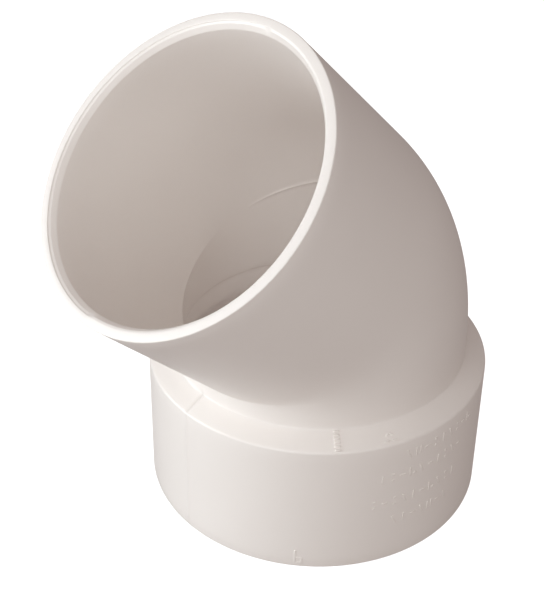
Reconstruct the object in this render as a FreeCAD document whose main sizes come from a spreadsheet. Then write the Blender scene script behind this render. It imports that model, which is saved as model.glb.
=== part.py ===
import FreeCAD, Part
import Sketcher
import os
import sys

# A white PVC conduit elbow of 45 degrees, socket one end and plain spigot the other.
# The socket stands mouth down on the base plane with its axis along +Z, and the leg
# leans towards -Y. The two axes meet at one point above the base, in the YZ plane.
# The three nodes are the three working lengths of the one moulding, and they meet
# face to face: the socket hub, the bend with its neck, and the spigot leg.

doc = FreeCAD.newDocument("conduit_elbow")

# Driving dimensions, in millimetres and degrees.
sheet = doc.addObject("Spreadsheet::Sheet", "dimensions")
dimensions = [
    ("spigot_radius", 57.15, "outside radius of the conduit and of the spigot leg"),
    ("bore_radius", 51.95, "inside radius of the wireway"),
    ("bend_angle", 45, "turn of the elbow"),
    ("axes_height", 88.6, "height above the mouth at which the two axes meet"),
    ("leg_reach", 91.9, "from the meeting of the axes to the rim of the spigot"),
    ("outer_throat", 0.6, "radius left in the throat outside"),
    ("bore_throat", 0.4, "radius left in the throat inside the bore"),
    ("mouth_radius", 65.8, "outside radius of the hub at its mouth"),
    ("crown_radius", 65.4, "outside radius of the hub below its shoulder"),
    ("hub_height", 55.2, "height of the hub wall up to the shoulder"),
    ("shoulder_height", 59.5, "height at which the shoulder runs out into the neck"),
    ("socket_radius", 57.3, "inside radius of the socket"),
    ("socket_depth", 44.5, "parallel depth of the socket"),
    ("stop_height", 60.9, "height of the ledge at the end of the socket"),
    ("relief_radius", 52.6, "inside radius just below the ledge"),
    ("relief_length", 10.0, "length of the straight wall below the ledge"),
    ("mouth_round", 0.8, "rounding of the outer edge of the mouth"),
    ("crown_round", 1.6, "rounding between hub wall and shoulder"),
    ("neck_round", 1.2, "rounding between shoulder and neck"),
    ("rim_face", 3.5, "width of the flat face of the rim"),
    ("rim_bevel", 2.1, "depth of the bevel inside the rim"),
    ("rim_round", 0.4, "broken outer edge of the rim"),
]
for row, (alias, value, meaning) in enumerate(dimensions, start=1):
    sheet.set("A%d" % row, meaning)
    sheet.set("B%d" % row, str(value))
    sheet.setAlias("B%d" % row, alias)
doc.recompute()


def origin_plane(body, role):
    """The named plane of a body's own origin."""
    return next(f for f in body.Origin.OriginFeatures if f.Role == role)


def new_body(label):
    """An empty body whose label is the name of its node."""
    body = doc.addObject("PartDesign::Body", label)
    body.Label = label
    return body


def new_sketch(body, name, role):
    """A sketch lying on one of the body's origin planes."""
    sketch = body.newObject("Sketcher::SketchObject", name)
    sketch.AttachmentSupport = [(origin_plane(body, role), "")]
    sketch.MapMode = "FlatFace"
    return sketch


def half_section(body, name, corners):
    """A closed profile of straight sides in the XZ plane, given as (radius, height)
    formulas in the sheet's names; a height of None lies on the radial axis."""
    sketch = new_sketch(body, name, "XZ_Plane")
    count = len(corners)
    for index in range(count):
        start = FreeCAD.Vector(60 + index, 10 + 5 * index, 0)
        end = FreeCAD.Vector(61 + index, 15 + 5 * index, 0)
        sketch.addGeometry(Part.LineSegment(start, end), False)
    for index in range(count):
        following = (index + 1) % count
        sketch.addConstraint(Sketcher.Constraint("Coincident", index, 2, following, 1))
    for index, (radius, height) in enumerate(corners):
        place = sketch.addConstraint(Sketcher.Constraint("DistanceX", -1, 1, index, 1, 60 + index))
        sketch.setExpression("Constraints[%d]" % place, radius)
        if height is None:
            sketch.addConstraint(Sketcher.Constraint("PointOnObject", index, 1, -1))
        else:
            place = sketch.addConstraint(
                Sketcher.Constraint("DistanceY", -1, 1, index, 1, 10 + 5 * index))
            sketch.setExpression("Constraints[%d]" % place, height)
    return sketch


def turned(body, name, sketch):
    """A full turn of a half section about the sketch's upright axis."""
    feature = body.newObject("PartDesign::Revolution", name)
    feature.Profile = sketch
    feature.ReferenceAxis = (sketch, ["V_Axis"])
    feature.Angle = 360
    body.Tip = feature
    doc.recompute()
    return feature


def ring_edges(shape, radius, height):
    """Names of the circular edges about the Z axis with this radius at this height."""
    names = []
    for index, edge in enumerate(shape.Edges, start=1):
        if edge.Curve.TypeId != "Part::GeomCircle":
            continue
        circle = edge.Curve
        if abs(circle.Radius - radius) < 1e-3 and abs(circle.Center.z - height) < 1e-3:
            names.append("Edge%d" % index)
    return names


def rounded(body, name, base, radius, height, size):
    """A fillet on the ring edge of this radius and height; size is a sheet name."""
    edges = ring_edges(base.Shape, radius, height)
    if not edges:
        sys.exit("no ring edge for " + name)
    feature = body.newObject("PartDesign::Fillet", name)
    feature.Base = (base, edges)
    feature.setExpression("Radius", "dimensions." + size)
    body.Tip = feature
    doc.recompute()
    return feature


def round_section(body, name, radius, across="0", along="0", tilt=None):
    """A circle parallel to the XY plane. Its sketch's own X axis lies at the depth
    across towards -Y and at the height along; the circle stands the same distance
    back, on the body's axis. A tilt leans the sketch with the leg instead."""
    sketch = new_sketch(body, name, "XY_Plane")
    if tilt:
        sketch.AttachmentOffset = FreeCAD.Placement(
            FreeCAD.Vector(0, 0, 0), FreeCAD.Rotation(FreeCAD.Vector(1, 0, 0), 45))
        sketch.setExpression(".AttachmentOffset.Rotation.Angle", tilt)
        sketch.setExpression(".AttachmentOffset.Base.y", "-(%s) * sin(%s)" % (along, tilt))
        sketch.setExpression(".AttachmentOffset.Base.z", "(%s) * cos(%s)" % (along, tilt))
    else:
        sketch.setExpression(".AttachmentOffset.Base.y", "-(%s)" % across)
        sketch.setExpression(".AttachmentOffset.Base.z", along)
    circle = Part.Circle(FreeCAD.Vector(0, 1, 0), FreeCAD.Vector(0, 0, 1), 50)
    sketch.addGeometry(circle, False)
    place = sketch.addConstraint(Sketcher.Constraint("Radius", 0, 50))
    sketch.setExpression("Constraints[%d]" % place, radius)
    if across == "0":
        sketch.addConstraint(Sketcher.Constraint("Coincident", 0, 3, -1, 1))
    else:
        sketch.addConstraint(Sketcher.Constraint("PointOnObject", 0, 3, -2))
        place = sketch.addConstraint(Sketcher.Constraint("DistanceY", -1, 1, 0, 3, 1))
        sketch.setExpression("Constraints[%d]" % place, across)
    return sketch


def straight_run(body, name, kind, sketch, length, reversed_way):
    """A Pad or Pocket of this length from a round section."""
    feature = body.newObject("PartDesign::" + kind, name)
    feature.Profile = sketch
    feature.setExpression("Length", length)
    feature.Reversed = reversed_way
    body.Tip = feature
    doc.recompute()
    return feature


def swung(body, name, kind, sketch):
    """A Revolution or Groove of a round section through the elbow's turn, about the
    sketch's own X axis, which is the axis of the bend."""
    feature = body.newObject("PartDesign::" + kind, name)
    feature.Profile = sketch
    feature.ReferenceAxis = (sketch, ["H_Axis"])
    feature.setExpression("Angle", "dimensions.bend_angle")
    body.Tip = feature
    doc.recompute()
    return feature


BEND = "dimensions.bend_angle"
OUTER_SWEEP = "(dimensions.spigot_radius + dimensions.outer_throat)"
BORE_SWEEP = "(dimensions.bore_radius + dimensions.bore_throat)"
OUTER_TANGENT = OUTER_SWEEP + " * tan(dimensions.bend_angle * 1 deg / 2)"
BORE_TANGENT = BORE_SWEEP + " * tan(dimensions.bend_angle * 1 deg / 2)"


def socket_hub():
    """The thick belled end that takes the conduit: a drafted wall, a sloping shoulder
    and a little neck outside; inside, a parallel socket, a cone that stops the conduit
    and a short straight wall up to the ledge."""
    body = new_body("socket_hub")
    section = half_section(body, "hub_section", [
        ("dimensions.socket_radius", None),
        ("dimensions.mouth_radius", None),
        ("dimensions.crown_radius", "dimensions.hub_height"),
        ("dimensions.spigot_radius", "dimensions.shoulder_height"),
        ("dimensions.spigot_radius", "dimensions.stop_height"),
        ("dimensions.relief_radius", "dimensions.stop_height"),
        ("dimensions.relief_radius", "dimensions.stop_height - dimensions.relief_length"),
        ("dimensions.socket_radius", "dimensions.socket_depth"),
    ])
    solid = turned(body, "hub_turning", section)
    solid = rounded(body, "mouth_edge", solid, sheet.mouth_radius, 0, "mouth_round")
    solid = rounded(body, "crown_edge", solid, sheet.crown_radius, sheet.hub_height, "crown_round")
    rounded(body, "neck_root", solid, sheet.spigot_radius, sheet.shoulder_height, "neck_round")
    return body


def bend():
    """The short neck and the turn. Outside and bore each swing about their own axis,
    close to the throat, so both throats come out nearly sharp. The body's origin is
    the meeting of the two axes."""
    body = new_body("bend")
    body.setExpression(".Placement.Base.z", "dimensions.axes_height")
    floor = "dimensions.stop_height - dimensions.axes_height"

    foot = round_section(body, "neck_circle", "dimensions.spigot_radius", along=floor)
    straight_run(body, "neck", "Pad", foot, "-(%s) - %s" % (floor, OUTER_TANGENT), False)
    turn = round_section(body, "bend_circle", "dimensions.spigot_radius",
                         across=OUTER_SWEEP, along="-" + OUTER_TANGENT)
    swung(body, "bend_turn", "Revolution", turn)

    inlet = round_section(body, "inlet_circle", "dimensions.bore_radius", along=floor)
    straight_run(body, "inlet_bore", "Pocket", inlet, "-(%s) - %s" % (floor, BORE_TANGENT), True)
    hollow = round_section(body, "bore_circle", "dimensions.bore_radius",
                           across=BORE_SWEEP, along="-" + BORE_TANGENT)
    swung(body, "bore_turn", "Groove", hollow)
    outlet = round_section(body, "outlet_circle", "dimensions.bore_radius",
                           along=OUTER_TANGENT, tilt=BEND)
    straight_run(body, "outlet_bore", "Pocket", outlet,
                 OUTER_TANGENT + " - " + BORE_TANGENT, False)
    return body


def spigot_leg():
    """The plain straight end, in a body whose own Z axis runs up the leg from the
    meeting of the axes: flat rim, bevel inside it and a broken edge outside."""
    body = new_body("spigot_leg")
    body.Placement = FreeCAD.Placement(
        FreeCAD.Vector(0, 0, 0), FreeCAD.Rotation(FreeCAD.Vector(1, 0, 0), 45))
    body.setExpression(".Placement.Rotation.Angle", BEND)
    body.setExpression(".Placement.Base.z", "dimensions.axes_height")
    section = half_section(body, "leg_section", [
        ("dimensions.bore_radius", OUTER_TANGENT),
        ("dimensions.spigot_radius", OUTER_TANGENT),
        ("dimensions.spigot_radius", "dimensions.leg_reach - dimensions.rim_round"),
        ("dimensions.spigot_radius - dimensions.rim_round", "dimensions.leg_reach"),
        ("dimensions.spigot_radius - dimensions.rim_face", "dimensions.leg_reach"),
        ("dimensions.bore_radius", "dimensions.leg_reach - dimensions.rim_bevel"),
    ])
    turned(body, "leg_turning", section)
    return body


bodies = [socket_hub(), bend(), spigot_leg()]
doc.recompute()

for item in doc.Objects:
    if "Invalid" in item.State or "Error" in item.State:
        sys.exit("failed object: %s %s" % (item.Name, item.State))
for body in bodies:
    if body.Shape.isNull() or not body.Shape.isValid() or len(body.Shape.Solids) != 1:
        sys.exit("bad solid: " + body.Label)

os.makedirs("parts", exist_ok=True)
for body in bodies:
    body.Shape.exportStep("parts/%s.step" % body.Label)
    box = body.Shape.BoundBox
    print("%-12s volume %.0f mm3, x %.2f..%.2f y %.2f..%.2f z %.2f..%.2f" % (
        body.Label, body.Shape.Volume, box.XMin, box.XMax, box.YMin, box.YMax, box.ZMin, box.ZMax))
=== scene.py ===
import bpy
import bmesh
import math
from mathutils import Matrix, Vector


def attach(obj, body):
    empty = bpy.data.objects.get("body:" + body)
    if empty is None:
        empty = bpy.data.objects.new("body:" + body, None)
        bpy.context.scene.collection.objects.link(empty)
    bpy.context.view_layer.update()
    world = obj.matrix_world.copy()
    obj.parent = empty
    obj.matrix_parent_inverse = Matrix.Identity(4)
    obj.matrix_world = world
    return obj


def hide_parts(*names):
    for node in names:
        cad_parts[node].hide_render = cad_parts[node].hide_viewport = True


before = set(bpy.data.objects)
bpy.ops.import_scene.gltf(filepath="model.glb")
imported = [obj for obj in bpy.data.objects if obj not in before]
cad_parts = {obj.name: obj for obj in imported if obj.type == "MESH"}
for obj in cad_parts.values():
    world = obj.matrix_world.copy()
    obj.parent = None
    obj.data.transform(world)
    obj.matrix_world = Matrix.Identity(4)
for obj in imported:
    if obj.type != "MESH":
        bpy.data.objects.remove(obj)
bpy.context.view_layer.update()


# --- The elbow moulding -------------------------------------------------------------
# One injection moulding in warm white PVC: a belled hub with a sloping shoulder, a short
# neck, a turn of 45 degrees that is sharp in the throat and round at the heel, and a
# plain leg. Steel cores form the bore and meet halfway round the turn, where they flash.

spigot_radius = 0.05715
bore_radius = 0.05195
axes_height = 0.0886
leg_reach = 0.0919
hub_radius = 0.0658
crown_radius = 0.0654
hub_height = 0.0552
shoulder_height = 0.0595
half_turn = math.radians(22.5)
leg_way = Vector((0, -math.sin(2 * half_turn), math.cos(2 * half_turn)))
socket_radius = 0.0573
socket_depth = 0.0445
ledge_height = 0.0609
recess_radius = 0.0532
recess_foot = 0.0590
relief_radius = 0.0526
relief_foot = 0.0509
outer_throat = 0.0006
bore_throat = 0.0004
segments_round = 240
turn_steps = 36

moulding = bmesh.new()
rings = {}


def start_ring(radius, height):
    """The first circle of the wall, lying flat on the hub's axis."""
    bmesh.ops.create_circle(moulding, cap_ends=False, segments=segments_round, radius=radius,
                            matrix=Matrix.Translation((0, 0, height)))
    return moulding.edges[:]


def ring_verts(ring):
    """The corners of a ring of edges, each once and always in the same order."""
    return list(dict.fromkeys(corner for edge in ring for corner in edge.verts))


def draw_ring(ring, centre, radius, way=Vector((0, 0, 1)), steps=1):
    """Draws the wall on from a ring to a circle of this radius about this centre, whose
    axis runs along way, and returns the new ring."""
    corners = ring_verts(ring)
    old_centre = sum((corner.co for corner in corners), Vector()) / len(corners)
    old_radius = (corners[0].co - old_centre).length
    move = (Vector(centre) - old_centre) / steps
    for step in range(steps):
        drawn = bmesh.ops.extrude_edge_only(moulding, edges=ring)["geom"]
        ring = [part for part in drawn if isinstance(part, bmesh.types.BMEdge)]
        corners = [part for part in drawn if isinstance(part, bmesh.types.BMVert)]
        bmesh.ops.translate(moulding, verts=corners, vec=move)
        here = old_centre + move * (step + 1)
        before = old_radius + (radius - old_radius) * step / steps
        after = old_radius + (radius - old_radius) * (step + 1) / steps
        bmesh.ops.scale(moulding, verts=corners, vec=Vector((1, 1, 1)) * (after / before),
                        space=Matrix.Translation(-here))
    return ring


def swing_ring(ring, sweep, turn, steps):
    """Turns a ring about the axis of a bend whose centre line has this radius."""
    centre = (0, -sweep, axes_height - sweep * math.tan(half_turn))
    swung = bmesh.ops.spin(moulding, geom=ring, cent=centre, axis=(1, 0, 0), angle=turn,
                           steps=steps)["geom_last"]
    return [part for part in swung if isinstance(part, bmesh.types.BMEdge)]


def up_leg(reach):
    """A point on the leg's axis, so far from where the two axes meet."""
    return Vector((0, 0, axes_height)) + leg_way * reach


# Outside, from the mouth of the socket up to the rim of the leg.
outer_sweep = spigot_radius + outer_throat
outer_tangent = outer_sweep * math.tan(half_turn)
ring = start_ring(socket_radius, 0)
rings["mouth_inner"] = ring
ring = draw_ring(ring, (0, 0, 0), hub_radius)
rings["mouth_outer"] = ring
ring = draw_ring(ring, (0, 0, hub_height), crown_radius, steps=10)
rings["crown"] = ring
ring = draw_ring(ring, (0, 0, shoulder_height), spigot_radius, steps=4)
rings["neck_root"] = ring
ring = draw_ring(ring, (0, 0, axes_height - outer_tangent), spigot_radius, steps=2)
drawn_before = set(moulding.verts)
ring = swing_ring(ring, outer_sweep, 2 * half_turn, turn_steps)
outer_turn = [corner for corner in moulding.verts if corner not in drawn_before]
ring = draw_ring(ring, up_leg(leg_reach), spigot_radius, leg_way, steps=10)
rings["rim_outer"] = ring

# Across the rim and down the bore to the ledge, then the relief and the socket. Inside its
# flat face the rim has a little step, then a bevel down to the bore.
face_radius = 0.0542
step_radius = 0.0540
bevel_radius = 0.0533
step_drop = 0.0004
bevel_drop = 0.0008
bore_edge_drop = 0.0024
bore_sweep = bore_radius + bore_throat
bore_tangent = bore_sweep * math.tan(half_turn)
ring = draw_ring(ring, up_leg(leg_reach), face_radius)
rings["rim_inner"] = ring
ring = draw_ring(ring, up_leg(leg_reach - step_drop), step_radius)
rings["rim_step"] = ring
ring = draw_ring(ring, up_leg(leg_reach - bevel_drop), bevel_radius)
rings["rim_bevel"] = ring
ring = draw_ring(ring, up_leg(leg_reach - bore_edge_drop), bore_radius)
rings["bore_edge"] = ring
ring = draw_ring(ring, up_leg(bore_tangent), bore_radius, steps=10)
drawn_before = set(moulding.verts)
ring = swing_ring(ring, bore_sweep, -half_turn, turn_steps // 2)
rings["core_meeting"] = ring
ring = swing_ring(ring, bore_sweep, -half_turn, turn_steps // 2)
bore_turn = [corner for corner in moulding.verts if corner not in drawn_before]
ring = draw_ring(ring, (0, 0, ledge_height), bore_radius, steps=2)
rings["ledge"] = ring
ring = draw_ring(ring, (0, 0, ledge_height), recess_radius)
ring = draw_ring(ring, (0, 0, recess_foot), relief_radius)
ring = draw_ring(ring, (0, 0, relief_foot), relief_radius, steps=3)
ring = draw_ring(ring, (0, 0, socket_depth), socket_radius, steps=3)
ring = draw_ring(ring, (0, 0, 0), socket_radius, steps=6)

# The last ring lies on the first, so they are joined, and the joined ring is found again.
seam = ring_verts(ring) + ring_verts(rings["mouth_inner"])
bmesh.ops.remove_doubles(moulding, verts=seam, dist=1e-6)
near = 0.0001
rings["mouth_inner"] = [edge for edge in moulding.edges
                        if max(abs(corner.co.z) for corner in edge.verts) < 1e-6
                        and max(corner.co.xy.length for corner in edge.verts) < socket_radius + near
                        and min(corner.co.xy.length for corner in edge.verts) > socket_radius - near]


# Only one half of the mould has the little step inside the rim. On the other half the two
# rings are raised until only a trace of the step is left.
step_trace = 0.00003
for name, rise in (("rim_step", step_drop), ("rim_bevel", 0.0005)):
    for corner in ring_verts(rings[name]):
        if corner.co.x > near:
            corner.co += leg_way * (rise - step_trace)

# Beside the throat two straight tubes meet in a crease where a swung tube would lie
# further out. In the bore, which straight cores make, it runs out half way to the heel.
# Outside it is blended away within a few finger widths of the throat.
heel_way = Matrix.Rotation(half_turn, 3, "X") @ Vector((0, 1, 0))
meeting_way = Matrix.Rotation(half_turn, 3, "X") @ Vector((0, 0, 1))
meeting_point = heel_way * bore_sweep + Vector((0, -bore_sweep, axes_height - bore_tangent))


def drawn_in(place, radius, sweep):
    """Where a point of the lower half of a turn lies once it is on the straight tube."""
    spread = place.xy.length
    if spread <= radius:
        return place
    foot = axes_height - sweep * math.tan(half_turn)
    pivot = Vector((0, 0, foot + sweep * (place.z - foot) / (place.y + sweep)))
    return pivot + (place - pivot) * radius / spread


def across_meeting(place):
    """The mirror image of a point in the plane where the two tubes meet."""
    return place - 2 * (place - meeting_point).dot(meeting_way) * meeting_way


def crease_throat(turn, radius, sweep, sharp_to, gone_at):
    """Draws the corners of a turn in to the two straight tubes: wholly up to one angle
    from the throat, then less and less up to another."""
    for corner in turn:
        if (corner.co - meeting_point).dot(meeting_way) > 1e-7:
            pressed = across_meeting(drawn_in(across_meeting(corner.co), radius, sweep))
        else:
            pressed = drawn_in(corner.co, radius, sweep)
        from_middle = corner.co - meeting_point
        from_throat = math.degrees(math.atan2(abs(from_middle.x), -from_middle.dot(heel_way)))
        share = max(0, min(1, (gone_at - from_throat) / (gone_at - sharp_to)))
        corner.co = corner.co.lerp(pressed, share)


crease_throat(outer_turn, spigot_radius, outer_sweep, sharp_to=12, gone_at=48)
crease_throat(bore_turn, bore_radius, bore_sweep, sharp_to=180, gone_at=181)


def round_ring(name, size, steps):
    """Rounds the corner that a named ring makes."""
    bmesh.ops.bevel(moulding, geom=rings[name], offset=size, segments=steps, profile=0.5,
                    affect="EDGES", material=-1, clamp_overlap=True)


mouth_round = 0.0008
round_ring("mouth_inner", size=0.0006, steps=2)
round_ring("mouth_outer", size=mouth_round, steps=3)
round_ring("crown", size=0.0007, steps=3)
round_ring("neck_root", size=0.0004, steps=2)
round_ring("rim_outer", size=0.0004, steps=3)
round_ring("rim_inner", size=0.00015, steps=2)
round_ring("bore_edge", size=0.0003, steps=2)
round_ring("ledge", size=0.00015, steps=2)

# Round the heel the cores leave a fine raised line where they meet. It is full at the heel
# and gone well before the crease of the throat begins.
core_line_width = 0.0002
core_line_rise = 0.00015
line_full_at = 0.45
line_gone_at = 0.20
core_line = bmesh.ops.bevel(moulding, geom=rings["core_meeting"], offset=core_line_width,
                            segments=2, profile=0.5, affect="EDGES", material=-1)
for corner in core_line["verts"]:
    from_middle = corner.co - meeting_point
    if abs(from_middle.dot(meeting_way)) < 1e-5:
        towards_heel = from_middle.normalized().dot(heel_way)
        share = (towards_heel - line_gone_at) / (line_full_at - line_gone_at)
        corner.co -= from_middle.normalized() * core_line_rise * min(1, max(0, share))

# The two halves of the mould part in the plane of the bend. They leave a hair line there,
# and a little groove where it crosses the shoulder below the throat.
parting_half_width = 0.00022
parting_rise = 0.00010
groove_depth = 0.00025
for side in (-parting_half_width, 0, parting_half_width):
    everything = moulding.verts[:] + moulding.edges[:] + moulding.faces[:]
    bmesh.ops.bisect_plane(moulding, geom=everything, dist=1e-7, plane_co=(side, 0, 0),
                           plane_no=(1, 0, 0))
bmesh.ops.recalc_face_normals(moulding, faces=moulding.faces[:])
moulding.normal_update()


hub_skin_radius = 0.0571
hub_skin_top = 0.0604


def on_outside(place):
    """True for a point of the outer skin from the foot of the hub to the rim, and for the
    socket's wall, which is as wide as the skin of the neck."""
    if place.z < mouth_round:
        return False
    if place.z < hub_skin_top:
        return place.xy.length > hub_skin_radius
    along = (place - Vector((0, 0, axes_height))).dot(leg_way)
    across = (place - Vector((0, 0, axes_height)) - leg_way * along).length
    if along > leg_reach - 0.0006:
        return False
    if along > outer_tangent:
        return across > spigot_radius - near
    if place.z < axes_height - outer_tangent:
        return place.xy.length > spigot_radius - near
    swing_centre = Vector((0, -outer_sweep, axes_height - outer_tangent))
    return (place - swing_centre).length > outer_sweep + spigot_radius - 3 * near


for corner in moulding.verts:
    if abs(corner.co.x) < 1e-6 and on_outside(corner.co):
        groove_top = shoulder_height + 0.0008
        on_shoulder = corner.co.y < 0 and hub_height < corner.co.z < groove_top
        corner.co += corner.normal * (-groove_depth if on_shoulder else parting_rise)

# Corners of the section that the mould leaves crisp.
for face in moulding.faces:
    face.smooth = True
crisp_angle = math.radians(38)
for edge in moulding.edges:
    edge.smooth = edge.calc_face_angle(0) < crisp_angle
for edge in rings["rim_step"] + rings["rim_bevel"]:
    edge.smooth = False

elbow_mesh = bpy.data.meshes.new("elbow_moulding")
moulding.to_mesh(elbow_mesh)
moulding.free()
elbow = bpy.data.objects.new("elbow_moulding", elbow_mesh)
bpy.context.collection.objects.link(elbow)

pvc = bpy.data.materials.new("moulded_white_pvc")
pvc.use_nodes = True
nodes, links = pvc.node_tree.nodes, pvc.node_tree.links
skin = nodes["Principled BSDF"]
skin.inputs["IOR"].default_value = 1.53
place = nodes.new("ShaderNodeTexCoord")
flow = nodes.new("ShaderNodeTexNoise")
flow.inputs["Scale"].default_value = 14
flow.inputs["Detail"].default_value = 3
tint = nodes.new("ShaderNodeValToRGB")
tint.color_ramp.elements[0].position = 0.3
tint.color_ramp.elements[0].color = (0.87, 0.815, 0.775, 1)
tint.color_ramp.elements[1].position = 0.7
tint.color_ramp.elements[1].color = (0.90, 0.845, 0.805, 1)
links.new(place.outputs["Object"], flow.inputs["Vector"])
links.new(flow.outputs["Fac"], tint.inputs["Fac"])
links.new(tint.outputs["Color"], skin.inputs["Base Color"])
gloss = nodes.new("ShaderNodeMapRange")
gloss.inputs["From Min"].default_value = 0.3
gloss.inputs["From Max"].default_value = 0.7
gloss.inputs["To Min"].default_value = 0.28
gloss.inputs["To Max"].default_value = 0.38
links.new(flow.outputs["Fac"], gloss.inputs["Value"])
links.new(gloss.outputs["Result"], skin.inputs["Roughness"])
grain = nodes.new("ShaderNodeTexNoise")
grain.inputs["Scale"].default_value = 900
grain.inputs["Detail"].default_value = 2
links.new(place.outputs["Object"], grain.inputs["Vector"])
relief = nodes.new("ShaderNodeBump")
relief.inputs["Strength"].default_value = 0.12
relief.inputs["Distance"].default_value = 0.0002
links.new(grain.outputs["Fac"], relief.inputs["Height"])
links.new(relief.outputs["Normal"], skin.inputs["Normal"])
elbow_mesh.materials.append(pvc)

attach(elbow, "root")
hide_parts("socket_hub", "bend", "spigot_leg")


# --- Raised marks on the hub --------------------------------------------------------
# Four rows of short bars and dots that stand under a fifth of a millimetre off the hub.
# They are cut in the mould's wall, so they are the same PVC and part of the moulding.

mark_stand = 0.00018
mark_root = 0.0004
edge_share = 0.4

hub_marks = bmesh.new()


def add_bar(marks, wide, tall, stand, lean=0):
    """A low bar with rounded edges that faces +X, its foot sunk into the wall."""
    bar = bmesh.ops.create_cube(marks, size=1)["verts"]
    bmesh.ops.scale(marks, verts=bar, vec=(stand + mark_root, wide, tall))
    bmesh.ops.translate(marks, verts=bar, vec=((stand - mark_root) / 2, 0, 0))
    edges = list(dict.fromkeys(edge for corner in bar for edge in corner.link_edges))
    rounded = bmesh.ops.bevel(marks, geom=edges, offset=edge_share * min(stand, wide / 2),
                              segments=2, profile=0.5, affect="EDGES", material=-1)
    corners = list(dict.fromkeys(corner for face in rounded["faces"] for corner in face.verts))
    bmesh.ops.rotate(marks, verts=corners, cent=(0, 0, 0),
                     matrix=Matrix.Rotation(math.radians(lean), 3, "X"))
    return corners


def set_on_hub(marks, corners, bearing, height):
    """Moves a bar on to the hub's wall at this bearing from +X and this height."""
    wall = hub_radius + (crown_radius - hub_radius) * height / hub_height
    bmesh.ops.translate(marks, verts=corners, vec=(wall, 0, height))
    bmesh.ops.rotate(marks, verts=corners, cent=(0, 0, 0),
                     matrix=Matrix.Rotation(math.radians(bearing), 3, "Z"))


# Each figure is a set of bars: (shift along the row, rise, width, height, lean).
upright = ((0, 0, 0.0006, 0.0038, 0),)
two_uprights = ((-0.0009, 0, 0.0006, 0.0038, 0), (0.0009, 0, 0.0006, 0.0038, 0))
two_dots = ((0, 0.0014, 0.0010, 0.0010, 0), (0, -0.0014, 0.0010, 0.0010, 0))
dash = ((0, 0, 0.0022, 0.0006, 0),)
slope = ((0, 0, 0.0006, 0.0040, 24),)
bar_and_dot = ((-0.0009, 0, 0.0006, 0.0038, 0), (0.0010, -0.0012, 0.0010, 0.0010, 0))
figure_step = 3.6

# Each row: height on the hub, bearing of its first figure in degrees, and its figures.
mark_rows = (
    (0.0488, -13.0,
     (slope, two_uprights, dash, two_dots, upright, slope, two_dots, dash, bar_and_dot)),
    (0.0398, -22.0,
     (upright, two_dots, dash, bar_and_dot, slope, dash, upright, two_dots, slope, dash)),
    (0.0283, -24.4,
     (two_dots, dash, two_dots, slope, upright, dash, bar_and_dot, slope, two_dots, upright)),
    (0.0190, -17.0, (slope, upright, dash, slope, two_uprights, dash, slope)),
)
for height, first_bearing, figures in mark_rows:
    for place_in_row, figure in enumerate(figures):
        for shift, rise, wide, tall, lean in figure:
            corners = add_bar(hub_marks, wide, tall, mark_stand, lean)
            bearing = first_bearing + figure_step * place_in_row + math.degrees(shift / hub_radius)
            set_on_hub(hub_marks, corners, bearing, height + rise)


def marks_piece(name, marks):
    """Makes a piece of the moulding's own PVC from a bmesh of raised marks."""
    marks.normal_update()
    mesh = bpy.data.meshes.new(name)
    marks.to_mesh(mesh)
    marks.free()
    mesh.shade_smooth()
    mesh.set_sharp_from_angle(angle=math.radians(50))
    mesh.materials.append(pvc)
    piece = bpy.data.objects.new(name, mesh)
    bpy.context.collection.objects.link(piece)
    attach(piece, "root")


marks_piece("hub_row_marks", hub_marks)


# --- Marks on the shoulder and at the foot ------------------------------------------
# A stack of little bars and a small wedge stand on the sloping shoulder, and a tick
# stands on the hub beside the mouth. They are moulded with the rest.

shoulder_marks = bmesh.new()
shoulder_run = Vector((spigot_radius - crown_radius, 0, shoulder_height - hub_height))
shoulder_tilt = math.atan2(-shoulder_run.x, shoulder_run.z)


def set_on_shoulder(marks, corners, bearing, share):
    """Moves a bar on to the shoulder, this share of the way up its slope."""
    bmesh.ops.rotate(marks, verts=corners, cent=(0, 0, 0),
                     matrix=Matrix.Rotation(-shoulder_tilt, 3, "Y"))
    crown = Vector((crown_radius, 0, hub_height))
    bmesh.ops.translate(marks, verts=corners, vec=crown + shoulder_run * share)
    bmesh.ops.rotate(marks, verts=corners, cent=(0, 0, 0),
                     matrix=Matrix.Rotation(math.radians(bearing), 3, "Z"))


# The stack of bars climbs the slope at one bearing.
stroke = 0.0007
stack_stand = 0.00055
stack_bearing = -37
for bar_number in range(6):
    corners = add_bar(shoulder_marks, 0.0021, stroke, stack_stand)
    set_on_shoulder(shoulder_marks, corners, stack_bearing, 0.12 + 0.155 * bar_number)

# The wedge is two level bars below two that lean together: (bearing, share, lean).
wedge_stand = 0.00030
wedge = ((-20.6, 0.22, 0), (-18.2, 0.20, 0), (-19.9, 0.46, 35), (-18.7, 0.47, -35))
for bearing, share, lean in wedge:
    corners = add_bar(shoulder_marks, 0.0017, stroke, wedge_stand, lean)
    set_on_shoulder(shoulder_marks, corners, bearing, share)

# The tick at the foot is a tall bar with three short ones: (width, height, bearing, rise).
tick = ((stroke, 0.0064, -49.3, 0.0050), (0.0022, stroke, -48.1, 0.0022),
        (0.0022, stroke, -48.1, 0.0046), (stroke, 0.0024, -47.2, 0.0034))
for wide, tall, bearing, rise in tick:
    corners = add_bar(shoulder_marks, wide, tall, mark_stand)
    set_on_hub(shoulder_marks, corners, bearing, rise)

marks_piece("shoulder_marks", shoulder_marks)


# --- Floor and backdrop -------------------------------------------------------------
# A white sheet that the elbow stands on, and a white dome of the same paper round it all.
# Both are evenly bright, and give the elbow neither light nor reflections.

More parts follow.
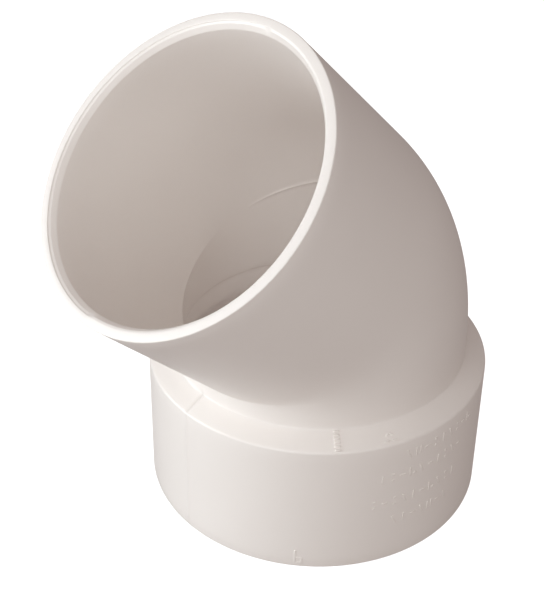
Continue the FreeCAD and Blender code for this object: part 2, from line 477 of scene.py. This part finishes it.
paper = bpy.data.materials.new("white_paper")
paper.use_nodes = True
paper_skin = paper.node_tree.nodes["Principled BSDF"]
paper_skin.inputs["Base Color"].default_value = (0.5, 0.5, 0.5, 1)
paper_skin.inputs["Roughness"].default_value = 0.9
paper_skin.inputs["Specular IOR Level"].default_value = 0
paper_skin.inputs["Emission Color"].default_value = (1, 1, 1, 1)
paper_skin.inputs["Emission Strength"].default_value = 0.95


def stage_piece(name, shape):
    """A piece of the set, seen only by the camera."""
    mesh = bpy.data.meshes.new(name)
    shape.to_mesh(mesh)
    shape.free()
    mesh.materials.append(paper)
    piece = bpy.data.objects.new(name, mesh)
    bpy.context.collection.objects.link(piece)
    piece.visible_diffuse = False
    piece.visible_glossy = False
    piece.visible_shadow = False


stage_reach = 6
floor_drop = 0.0002
dome_foot = -0.1

floor_sheet = bmesh.new()
bmesh.ops.create_grid(floor_sheet, x_segments=1, y_segments=1, size=stage_reach)
bmesh.ops.translate(floor_sheet, verts=floor_sheet.verts, vec=(0, 0, -floor_drop))
stage_piece("floor", floor_sheet)

dome = bmesh.new()
bmesh.ops.create_icosphere(dome, subdivisions=4, radius=stage_reach)
bmesh.ops.bisect_plane(dome, geom=dome.verts[:] + dome.edges[:] + dome.faces[:], dist=1e-6,
                       plane_co=(0, 0, dome_foot), plane_no=(0, 0, 1), clear_inner=True)
bmesh.ops.reverse_faces(dome, faces=dome.faces[:])
stage_piece("backdrop", dome)


# --- Light and camera ---------------------------------------------------------------
# Two large soft boxes at the left and front, a weak one at the right, and a dim, warm room.

room = bpy.data.worlds.new("room")
room.use_nodes = True
room.node_tree.nodes["Background"].inputs["Color"].default_value = (1, 0.87, 0.827, 1)
room.node_tree.nodes["Background"].inputs["Strength"].default_value = 0.346
bpy.context.scene.world = room

look_at = Vector((0, -0.02, 0.085))
box_size = 0.8
box_distance = 1.1


def soft_box(name, bearing, rise, power, colour):
    """A square soft box that faces the elbow. Its bearing is in degrees from +X."""
    lamp = bpy.data.lights.new(name, "AREA")
    lamp.shape = "SQUARE"
    lamp.size = box_size
    lamp.energy = power
    lamp.color = colour
    holder = bpy.data.objects.new(name, lamp)
    turn, climb = math.radians(bearing), math.radians(rise)
    way = Vector((math.cos(turn) * math.cos(climb), math.sin(turn) * math.cos(climb),
                  math.sin(climb)))
    holder.location = look_at + way * box_distance
    holder.rotation_euler = way.to_track_quat("Z", "Y").to_euler()
    bpy.context.collection.objects.link(holder)


soft_box("left_box", -125, 11, 8.48, (0.866, 0.961, 1.0))
soft_box("front_box", -65, 34, 4.52, (0.918, 0.978, 1.0))
soft_box("right_box", -25, 15, 1.27, (0.95, 1.0, 0.98))

camera_data = bpy.data.cameras.new("camera")
camera_data.sensor_width = 36
camera_data.lens = 74.58
camera_data.shift_x = 0.0005
camera_data.shift_y = -0.0009
camera_data.clip_start = 0.01
camera = bpy.data.objects.new("camera", camera_data)
bpy.context.collection.objects.link(camera)
bpy.context.scene.camera = camera
camera.location = (0.27987, -0.27843, 0.34043)
camera.rotation_euler = (math.radians(56.129), math.radians(-0.651), math.radians(48.184))
bpy.context.scene.view_settings.view_transform = "Standard"
